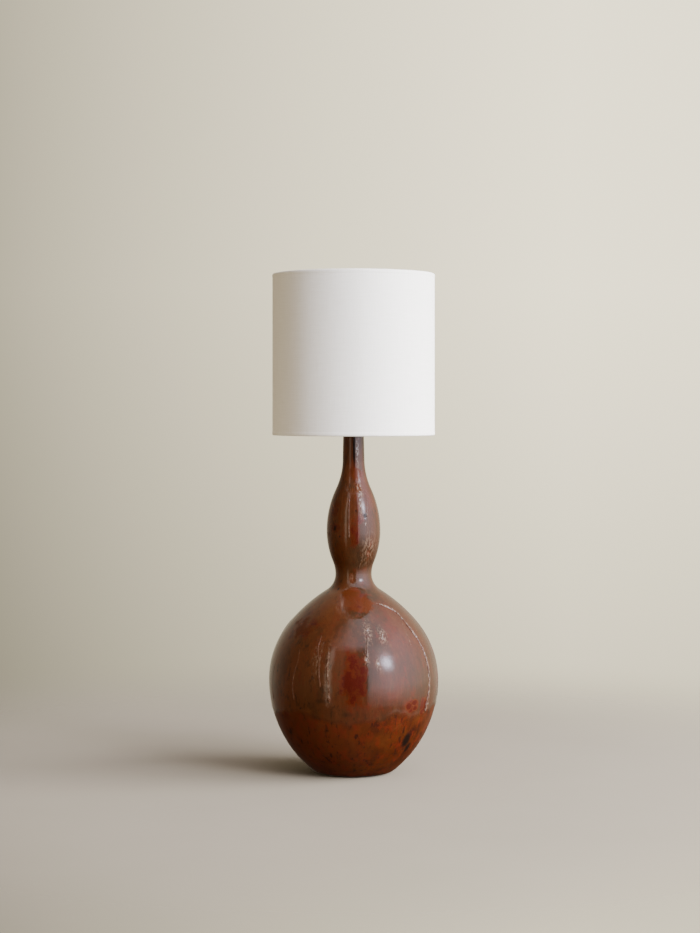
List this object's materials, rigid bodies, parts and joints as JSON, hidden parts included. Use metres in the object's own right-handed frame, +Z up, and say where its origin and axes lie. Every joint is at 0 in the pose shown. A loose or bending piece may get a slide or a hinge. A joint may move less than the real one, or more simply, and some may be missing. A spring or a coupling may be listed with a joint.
{
  "type": "table lamp",
  "caption": "Table lamp with a glazed double gourd base, a harp lamp holder with a turn switch, and a tall drum shade.",
  "frame": {"origin": "on the lamp's axis, where the felt meets the table", "axes": "+Z up along the axis, -Y is the front where the switch knob points, the cord inlet is at +Y"},
  "size_m": [0.263, 0.263, 0.7765],
  "materials": {
    "glaze": "glossy iron-red and brown glaze",
    "felt": "pressed wool felt",
    "bush_plastic": "moulded",
    "plated_steel": "zinc plated",
    "brass": "satin brass",
    "insulating_card": "pressed fibre",
    "phenolic": "moulded phenolic",
    "knob_plastic": "moulded",
    "bulb_glaze": "vitrite",
    "bulb_metal": "bright",
    "bulb_glass": "frosted white",
    "liner_plastic": "satin styrene",
    "shade_fabric": "fine plain weave",
    "shade_wire": "white enamel"
  },
  "bodies": {
    "base": {"gourd_body": "glaze", "base_felt": "felt", "cord_bush": "bush_plastic", "lamp_pipe": "plated_steel", "base_washer": "plated_steel", "base_nut": "brass", "neck_cap": "brass", "lock_ring": "brass", "harp_saddle": "brass", "socket_cap": "brass", "set_screw": "plated_steel", "socket_shell": "brass", "socket_liner": "insulating_card", "socket_core": "phenolic", "screw_shell": "brass", "centre_contact": "brass", "terminal_screws": "brass"},
    "switch": {"switch_spindle": "brass", "switch_knob": "knob_plastic"},
    "bulb": {"bulb_glass": "bulb_glass", "bulb_cap": "bulb_metal", "bulb_insulator": "bulb_glaze", "bulb_contact": "plated_steel"},
    "harp": {"harp_loop": "brass"},
    "ferrule_left": {"ferrule_left": "brass"},
    "ferrule_right": {"ferrule_right": "brass"},
    "stud": {"shade_stud": "brass"},
    "shade": {"shade_cover": "shade_fabric", "shade_liner": "liner_plastic", "top_ring": "shade_wire", "bottom_ring": "shade_wire", "spider_arms": "shade_wire", "spider_washer": "shade_wire"},
    "finial": {"finial": "brass"}
  },
  "joints": [
    {"name": "switch_turn", "type": "hinge", "parent": "base", "child": "switch", "pos_m": [0, -0.02, 0.5736], "axis": [0, -1, 0], "continuous": true},
    {"name": "bulb_lift", "type": "slide", "parent": "base", "child": "bulb", "axis": [0, 0, 1], "range_m": [0, 0.03]},
    {"name": "harp_lift", "type": "slide", "parent": "base", "child": "harp", "axis": [0, 0, 1], "range_m": [0, 0.016]},
    {"name": "ferrule_left_lift", "type": "slide", "parent": "harp", "child": "ferrule_left", "axis": [0, 0, 1], "range_m": [0, 0.012]},
    {"name": "ferrule_right_lift", "type": "slide", "parent": "harp", "child": "ferrule_right", "axis": [0, 0, 1], "range_m": [0, 0.012]},
    {"name": "shade_turn", "type": "hinge", "parent": "harp", "child": "stud", "pos_m": [0, 0, 0.751], "axis": [0, 0, 1], "continuous": true},
    {"name": "shade_lift", "type": "slide", "parent": "stud", "child": "shade", "axis": [0, 0, 1], "range_m": [0, 0.25]},
    {"name": "finial_lift", "type": "slide", "parent": "stud", "child": "finial", "axis": [0, 0, 1], "range_m": [0, 0.3]}
  ],
  "couplings": [
    {"joint": "finial_lift", "follows": "shade_lift", "ratio": 1.2}
  ]
}
